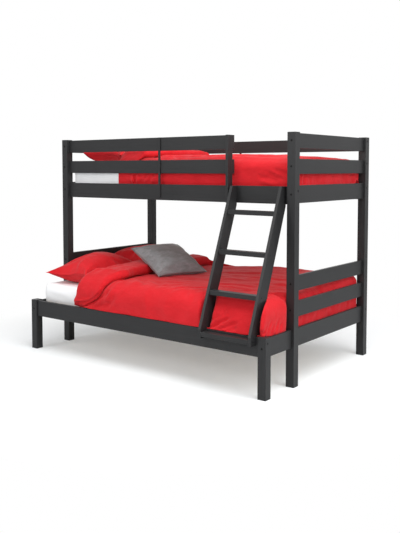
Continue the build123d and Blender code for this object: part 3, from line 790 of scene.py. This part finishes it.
def wear(mesh, thick, plan):
    """Softens, fills and creases what shows of a duvet, and keeps it off its neighbours."""
    points = plan["clear"](read_vectors(mesh, "co"))
    move_points(mesh, points)
    shown = np.tile(plan["section"][:, 3], len(plan["wrap"].run))
    soft = (thick / 0.07).clip(0.08, 1) * shown
    blow_up(mesh, 1.4, 0.045, 0.013 * soft + 1e-5, 16, 12.0, 0.5)
    points = plan["clear"](read_vectors(mesh, "co"))
    normals = read_vectors(mesh, "normal")
    seed = plan["seed"]
    puff = 0.005 * waves(points, 3.0, seed) + 0.004 * rumples(points * (1.0, 1.7, 1.2), 4.5, seed)
    fine = 0.0022 * rumples(points * (0.8, 1.8, 1.2), 10.0, seed + 3)
    depth_left = plan["squeeze"] * np.tanh(thick / plan["squeeze"])
    folds = CREASE_STRENGTH * crease(points, normals, plan["creases"])
    folds = shown * np.maximum(folds, -DEEPEST_CREASE * depth_left)
    points += normals * ((puff + fine) * soft + folds)[:, None]
    move_points(mesh, plan["clear"](points))


def make_duvet(name, node, body, plan):
    mesh, thick = sheath(name, plan["wrap"], plan["section"], plan["shape"], plan["squeeze"])
    wear(mesh, thick, plan)
    duvet = make_piece(name, mesh, red_cotton, body, soften=1)
    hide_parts(node)


# The lower duvet
rail_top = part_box("lower_side_rail_front")[1].z
short_rail_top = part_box("lower_short_rail_right")[1].z
leg_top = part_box("leg_front_right")[1].z
LOWER_ROLL = CORNER.x + 0.490
LOWER_EDGE = CORNER.x + 0.735
LOWER_FOOT = lower_high.x + 0.0165
CLEAR = 0.0004

# On the hanging side: metres up from the hem, and how far the roll and the flap's edge shift there
SIDE_HEIGHTS = (0.0, 0.02, 0.055, 0.10, 0.15, 0.22, 0.32)
ROLL_SHIFTS = (-0.088, -0.085, -0.072, -0.042, -0.012, 0.008, 0.004)
EDGE_SHIFTS = (-0.290, -0.235, -0.135, -0.055, 0.020, 0.030, 0.0)


def lower_shape(section, run, across):
    """Where each point of the section lies along and above the wrap, and the thickness there."""
    along = section[:, 0].copy()
    side = 1 - ease(run, 0.07, 0.17)
    back = ease(across, CORNER.y + 0.3, CORNER.y + 0.85)
    end = ease(across, CORNER.y + 0.93, CORNER.y + 0.972)
    back_top = 0.062 + 0.040 * ease(along, CORNER.x + 0.75, CORNER.x + 1.4)
    top = (0.079 + (back_top - 0.079) * back) * (1 - 0.35 * end)
    folded = 1 - ease(along, LOWER_EDGE - 0.03, LOWER_EDGE + 0.10)
    hang = 0.094 - 0.040 * folded - 0.004 * (1 - folded) * (1 - ease(run, 0.0, 0.085))
    base = top + (hang - top) * side
    crest = 0.065 + 0.011 * ease(across, CORNER.y + 0.05, CORNER.y + 0.25)
    flap = (crest + (0.042 - crest) * side) * (1 - 0.35 * end) * (0.08 + 0.92 * ease(run, 0.004, 0.05))
    drop = FOOT_DROP * (0.55 + 0.45 * ease(run, 0.135, 0.16))
    height = layered(section, base, flap, drop)
    roll_shift = np.interp(run, SIDE_HEIGHTS, ROLL_SHIFTS) + 0.006 * np.sin(across * 9)
    edge_shift = np.interp(run, SIDE_HEIGHTS, EDGE_SHIFTS) - 0.055 * back + 0.006 * np.sin(across * 11 + 1)
    share = np.clip((along - LOWER_ROLL) / (LOWER_EDGE - LOWER_ROLL), 0, 1)
    fade = 1 - ease(along, LOWER_EDGE, LOWER_EDGE + 0.35)
    lobe = hump(across, CORNER.y - 0.24, CORNER.y - 0.04, 0.03)
    along += (roll_shift + (edge_shift - roll_shift) * share) * fade
    along += 0.012 * lobe * ease(along, LOWER_FOOT - 0.15, LOWER_FOOT)
    return along, height, np.broadcast_to(base, along.shape)


def lower_clear(points):
    """Keeps the lower duvet off the ladder, the posts, the rails, the leg and the mattress."""
    points = foot_limit(off_ladder(points), True)
    x = points[:, 0] - CORNER.x
    y = points[:, 1] - CORNER.y
    tucked = (x > 1.90) & (y > -0.270) & (y < -0.05) & (points[:, 2] < 0.362)
    points[tucked, 2] = np.minimum(points[tucked, 2], 0.343)
    level = np.zeros(len(points))
    level[y < -0.277] = rail_top + CLEAR
    level[(x > 1.9805) & (y < 0.06)] = short_rail_top + CLEAR
    level[(x > 1.962) & (y < -0.252)] = leg_top + CLEAR
    points[:, 2] = np.maximum(points[:, 2], level)
    corner = 1 - ease(y, -0.06, 0.04)
    rise = ((points[:, 2] - 0.455) / 0.105).clip(0, 1)
    rounded = CORNER.x + 1.992 - 0.085 * (1 - np.sqrt(1 - rise**2))
    points[:, 0] -= (points[:, 0] - rounded).clip(0, None) * corner
    points[:, 1] = np.maximum(points[:, 1], CORNER.y - 0.307)
    return keep_off(points, lower_low, lower_high)


lower_creases = (
    # the flap
    (at(0.44, -0.30, 0.37), at(0.62, -0.30, 0.40), 0.010, 0.007),
    (at(0.47, -0.30, 0.40), at(0.66, -0.29, 0.46), 0.012, 0.006),
    (at(0.56, -0.22, 0.60), at(0.60, 0.10, 0.62), 0.030, 0.004),
    (at(0.50, -0.25, 0.55), at(0.62, -0.28, 0.47), 0.016, 0.004),
    (at(0.70, -0.05, 0.62), at(0.72, -0.20, 0.60), 0.010, 0.003),
    (at(0.72, -0.20, 0.60), at(0.70, -0.29, 0.51), 0.010, 0.003),
    (at(0.70, -0.30, 0.51), at(0.56, -0.30, 0.42), 0.010, 0.004),
    # the groove beside the flap's edge
    (at(0.42, -0.30, 0.352), at(0.68, -0.30, 0.440), 0.011, 0.009),
    (at(0.60, -0.30, 0.405), at(0.80, -0.29, 0.520), 0.012, 0.010),
    (at(0.790, -0.28, 0.520), at(0.765, -0.05, 0.552), 0.014, 0.006),
    # below the flap
    (at(0.665, -0.30, 0.360), at(0.735, -0.30, 0.440), 0.012, 0.006),
    (at(0.735, -0.30, 0.440), at(0.765, -0.29, 0.510), 0.013, 0.005),
    (at(0.60, -0.30, 0.365), at(0.80, -0.30, 0.415), 0.014, 0.007),
    (at(0.74, -0.30, 0.375), at(0.84, -0.29, 0.47), 0.016, 0.006),
    (at(0.76, -0.20, 0.54), at(0.98, -0.27, 0.52), 0.022, 0.005),
    (at(0.80, -0.03, 0.552), at(1.05, -0.22, 0.545), 0.020, 0.005),
    (at(0.88, 0.00, 0.552), at(1.16, -0.18, 0.550), 0.018, 0.004),
    # long folds that run to the ladder
    (at(1.24, -0.26, 0.545), at(1.44, 0.00, 0.552), 0.015, 0.007),
    (at(1.34, -0.28, 0.530), at(1.52, -0.14, 0.552), 0.012, 0.006),
    (at(1.44, -0.29, 0.515), at(1.56, -0.22, 0.545), 0.012, 0.005),
    (at(1.10, -0.22, 0.550), at(1.26, -0.02, 0.552), 0.018, 0.003),
    # across the top
    (at(0.98, 0.77, 0.560), at(1.40, 0.86, 0.565), 0.016, 0.006),
    (at(1.20, 0.86, 0.560), at(1.62, 0.83, 0.565), 0.014, 0.006),
    (at(1.08, 0.52, 0.555), at(1.46, 0.62, 0.565), 0.018, 0.005),
    (at(1.30, 0.44, 0.560), at(1.76, 0.50, 0.570), 0.020, 0.005),
    (at(1.22, 0.26, 0.555), at(1.56, 0.36, 0.560), 0.018, 0.005),
    (at(1.33, 0.08, 0.552), at(1.68, 0.17, 0.555), 0.016, 0.006),
    (at(1.45, 0.02, 0.552), at(1.80, 0.06, 0.555), 0.012, 0.004),
    (at(1.70, 0.62, 0.570), at(1.94, 0.66, 0.560), 0.018, 0.005),
    (at(1.66, 0.30, 0.565), at(1.92, 0.33, 0.560), 0.020, 0.006),
    # the corner at the foot
    (at(1.99, -0.03, 0.530), at(1.80, 0.02, 0.556), 0.030, 0.014),
    (at(1.97, -0.28, 0.365), at(1.99, -0.24, 0.430), 0.009, 0.009),
    (at(1.98, -0.25, 0.360), at(1.995, -0.20, 0.450), 0.008, 0.008),
    (at(1.99, -0.21, 0.357), at(1.995, -0.17, 0.415), 0.008, 0.007),
    (at(1.99, -0.16, 0.357), at(1.995, -0.12, 0.440), 0.009, 0.008),
    (at(1.99, -0.11, 0.357), at(1.995, -0.09, 0.405), 0.008, 0.007),
    (at(1.95, -0.30, 0.365), at(1.96, -0.29, 0.420), 0.008, 0.008),
    # between the stringers
    (at(1.60, -0.29, 0.350), at(1.75, -0.26, 0.440), 0.012, 0.016),
    (at(1.66, -0.29, 0.352), at(1.82, -0.26, 0.415), 0.011, 0.014),
    (at(1.72, -0.29, 0.352), at(1.81, -0.28, 0.390), 0.010, 0.013),
    (at(1.58, -0.29, 0.365), at(1.66, -0.26, 0.450), 0.012, 0.010),
    (at(1.64, -0.27, 0.400), at(1.72, -0.25, 0.470), 0.012, 0.008),
    # down the foot
    (at(1.98, 0.16, 0.355), at(1.98, 0.20, 0.440), 0.012, 0.005),
    (at(1.98, 0.34, 0.355), at(1.98, 0.37, 0.420), 0.010, 0.004),
    (at(1.98, 0.58, 0.355), at(1.98, 0.56, 0.430), 0.012, 0.005),
    (at(1.98, 0.78, 0.355), at(1.98, 0.80, 0.440), 0.012, 0.005),
)
lower_wrap = Wrap(
    lower_low.y,
    lower_high.y - 0.010,
    lower_high.z,
    rail_top + 0.001,
    None,
    0.03,
    0.36,
)
lower_plan = {
    "wrap": lower_wrap,
    "section": fold_section(LOWER_ROLL, LOWER_EDGE, LOWER_FOOT),
    "shape": lower_shape,
    "clear": lower_clear,
    "creases": lower_creases,
    "squeeze": 1.0,
    "seed": 1.7,
}
make_duvet("lower_red_duvet", "lower_duvet", "frame", lower_plan)

# The upper duvet
upper_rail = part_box("upper_side_rail_front")
UPPER_ROLL = CORNER.x + 0.535
UPPER_EDGE = CORNER.x + 0.745
UPPER_FOOT = upper_high.x + 0.015
UPPER_SIDE = 0.010


def upper_shape(section, run, across):
    """As lower_shape, but with both sides tucked between the mattress and the rails."""
    along = section[:, 0].copy()
    from_hem = min(run, upper_wrap.length - run)
    side = 1 - ease(from_hem, 0.112, 0.205)
    at_front = 1 - ease(across, CORNER.y + 0.1, CORNER.y + 0.2)
    open_side = hump(along, CORNER.x + 1.62, CORNER.x + 1.90, 0.05) * at_front
    bulge = open_side * hump(from_hem, 0.045, 0.12, 0.03)
    folded = 1 - ease(along, UPPER_EDGE - 0.03, UPPER_EDGE + 0.05)
    hang = UPPER_SIDE - 0.45 * UPPER_SIDE * folded + 0.020 * bulge
    top = 0.063 - 0.013 * ease(along, CORNER.x + 1.55, CORNER.x + 1.9)
    base = top + (hang - top) * side
    flap = 0.058 + (0.45 * UPPER_SIDE - 0.058) * side
    drop = FOOT_DROP * (0.7 + 0.3 * ease(from_hem, 0.16, 0.19))
    height = layered(section, base, flap, drop)
    roll_shift = -0.045 * (1 - side)
    edge_shift = -0.045 * side + 0.010 * np.sin(across * 8)
    share = np.clip((along - UPPER_ROLL) / (UPPER_EDGE - UPPER_ROLL), 0, 1)
    fade = 1 - ease(along, UPPER_EDGE, UPPER_EDGE + 0.2)
    along += (roll_shift + (edge_shift - roll_shift) * share) * fade
    return along, height, np.broadcast_to(base, along.shape)


def upper_clear(points):
    """Keeps the upper duvet off the posts, the rails and the mattress; it swells between the rails."""
    points = foot_limit(points, False)
    low = upper_rail[1].y + 0.0012
    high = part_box("upper_side_rail_back")[0].y - 0.0012
    over = ease(points[:, 2], upper_rail[1].z + 0.004, upper_rail[1].z + 0.02)
    opening = hump(points[:, 0], CORNER.x + 1.60, CORNER.x + 1.93, 0.03)
    gap = hump(points[:, 2], upper_rail[1].z + 0.013, upper_rail[1].z + 0.055, 0.008)
    rucked = hump(points[:, 0], CORNER.x + 0.62, CORNER.x + 0.94, 0.03)
    front = low - 0.018 * over * opening - 0.014 * gap * rucked
    points[:, 1] = points[:, 1].clip(front, high)
    return keep_off(points, upper_low, upper_high)


upper_creases = (
    (at(0.58, 0.05, 1.243), at(1.02, 0.05, 1.243), 0.024, -0.007),
    (at(0.702, 0.05, 1.17), at(0.712, 0.05, 1.33), 0.010, 0.022),
    (at(0.765, 0.05, 1.20), at(0.835, 0.05, 1.30), 0.010, 0.012),
    (at(0.815, 0.05, 1.20), at(0.905, 0.05, 1.31), 0.010, 0.012),
    (at(0.745, 0.05, 1.20), at(0.770, 0.05, 1.27), 0.010, 0.008),
    (at(0.80, 0.20, 1.40), at(1.00, 0.50, 1.40), 0.020, 0.006),
    (at(0.95, 0.10, 1.39), at(1.20, 0.35, 1.39), 0.022, 0.005),
    (at(1.74, 0.04, 1.26), at(1.89, 0.03, 1.230), 0.012, 0.009),
    (at(1.78, 0.04, 1.28), at(1.92, 0.04, 1.245), 0.012, 0.008),
    (at(1.84, 0.04, 1.30), at(1.95, 0.04, 1.270), 0.012, 0.006),
    (at(1.97, 0.12, 1.20), at(1.97, 0.14, 1.28), 0.010, 0.005),
    (at(1.97, 0.18, 1.20), at(1.97, 0.19, 1.27), 0.010, 0.005),
    (at(1.97, 0.25, 1.20), at(1.97, 0.26, 1.28), 0.010, 0.004),
)
upper_wrap = Wrap(
    upper_low.y - 0.0015,
    upper_high.y + 0.0015,
    upper_high.z,
    upper_rail[1].z - 0.012,
    upper_rail[1].z - 0.012,
    0.03,
    0.24,
)
upper_plan = {
    "wrap": upper_wrap,
    "section": fold_section(UPPER_ROLL, UPPER_EDGE, UPPER_FOOT),
    "shape": upper_shape,
    "clear": upper_clear,
    "creases": upper_creases,
    "squeeze": 0.0115,
    "seed": 5.3,
}
make_duvet("upper_red_duvet", "upper_duvet", "upper_bedding", upper_plan)


# Floor, world and lamps
FLOOR_GLOW = 0.22
WORLD_LEVEL = 0.46
PAINTED_GLOW_REACH = (1.1, 2.1)


def make_floor():
    """A pale floor that keeps the bed's shadow near it; further off it glows plain white for the camera, a
    painted light that fades out the bed's shadow between 1.1 and 2.1 metres from the origin.
    """
    bm = bmesh.new()
    bmesh.ops.create_grid(bm, x_segments=1, y_segments=1, size=30.0)
    mesh = bpy.data.meshes.new("floor")
    bm.to_mesh(mesh)
    bm.free()
    floor = bpy.data.objects.new("floor", mesh)
    scene.collection.objects.link(floor)
    white = Finish("white_floor", {"Roughness": 0.9, "Specular IOR Level": 0.0})
    rays = white.node("ShaderNodeLightPath", output="Is Camera Ray")
    distance = white.node("ShaderNodeVectorMath", {"operation": "LENGTH"}, {0: white.place()}, output=1)
    # painted light: from 1.1 m out the camera sees a white glow instead of the floor's own shading and the
    # bed's shadow
    far = white.spread(distance, *PAINTED_GLOW_REACH)
    white.set(Base_Color=grey(0.78, (0.97, 1.0, 1.015)))
    lit = white.node("ShaderNodeEmission", {}, {"Color": grey(1.0), "Strength": rays * FLOOR_GLOW})
    both = white.node("ShaderNodeAddShader", {}, {0: Wire(white, white.shader.outputs[0]), 1: lit})
    # painted light: white glow that covers the floor's shading and the bed's shadow further off
    painted_glow = white.node("ShaderNodeEmission", {}, {"Color": grey(1.0), "Strength": 1.0})
    mixed = white.node("ShaderNodeMixShader", {}, {0: far * rays, 1: both, 2: painted_glow})
    white.tree.links.new(mixed.socket, white.tree.nodes["Material Output"].inputs["Surface"])
    mesh.materials.append(white.material)


class Sky(Finish):
    """The world's nodes, made the way a material's are."""

    def __init__(self, name):
        self.world = bpy.data.worlds.new(name)
        self.world.use_nodes = True
        self.tree = self.world.node_tree
        self.shader = self.tree.nodes["Background"]

    def ray(self, kind):
        return self.node("ShaderNodeLightPath", output=f"Is {kind} Ray")

    def either(self, first, second):
        return self.node("ShaderNodeMath", {"operation": "MAXIMUM"}, {0: first, 1: second})


def make_world():
    """White where it is seen, straight, in a gloss or through glass, and plainer as light."""
    sky = Sky("studio")
    seen = sky.either(sky.either(sky.ray("Camera"), sky.ray("Glossy")), sky.ray("Transmission"))
    sky.feed(sky.shader.inputs["Color"], grey(1.0))
    sky.feed(sky.shader.inputs["Strength"], sky.spread(seen, 0.0, 1.0, WORLD_LEVEL, 1.0))
    scene.world = sky.world


LAMP_AIM = Vector((0, 0, 0.7))


def make_lamp(name, place, size, power):
    data = bpy.data.lights.new(name, "AREA")
    data.shape = "DISK"
    data.size = size
    data.energy = power
    lamp = bpy.data.objects.new(name, data)
    lamp.location = place
    lamp.rotation_euler = (LAMP_AIM - Vector(place)).to_track_quat("-Z", "Y").to_euler()
    scene.collection.objects.link(lamp)


# Each lamp's name, place, width in metres and power in watts
LAMPS = (
    ("overhead", (2.0, -0.9, 4.5), 4.4, 200),
    ("right_side", (5.2, -0.8, 3.2), 3.4, 92),
    ("front_left", (-1.9, -5.0, 3.2), 2.0, 64),
    ("front_low", (0.5, -5.8, 1.9), 3.0, 36),
)
make_floor()
make_world()
for lamp_row in LAMPS:
    make_lamp(*lamp_row)
scene.view_settings.view_transform = "Standard"
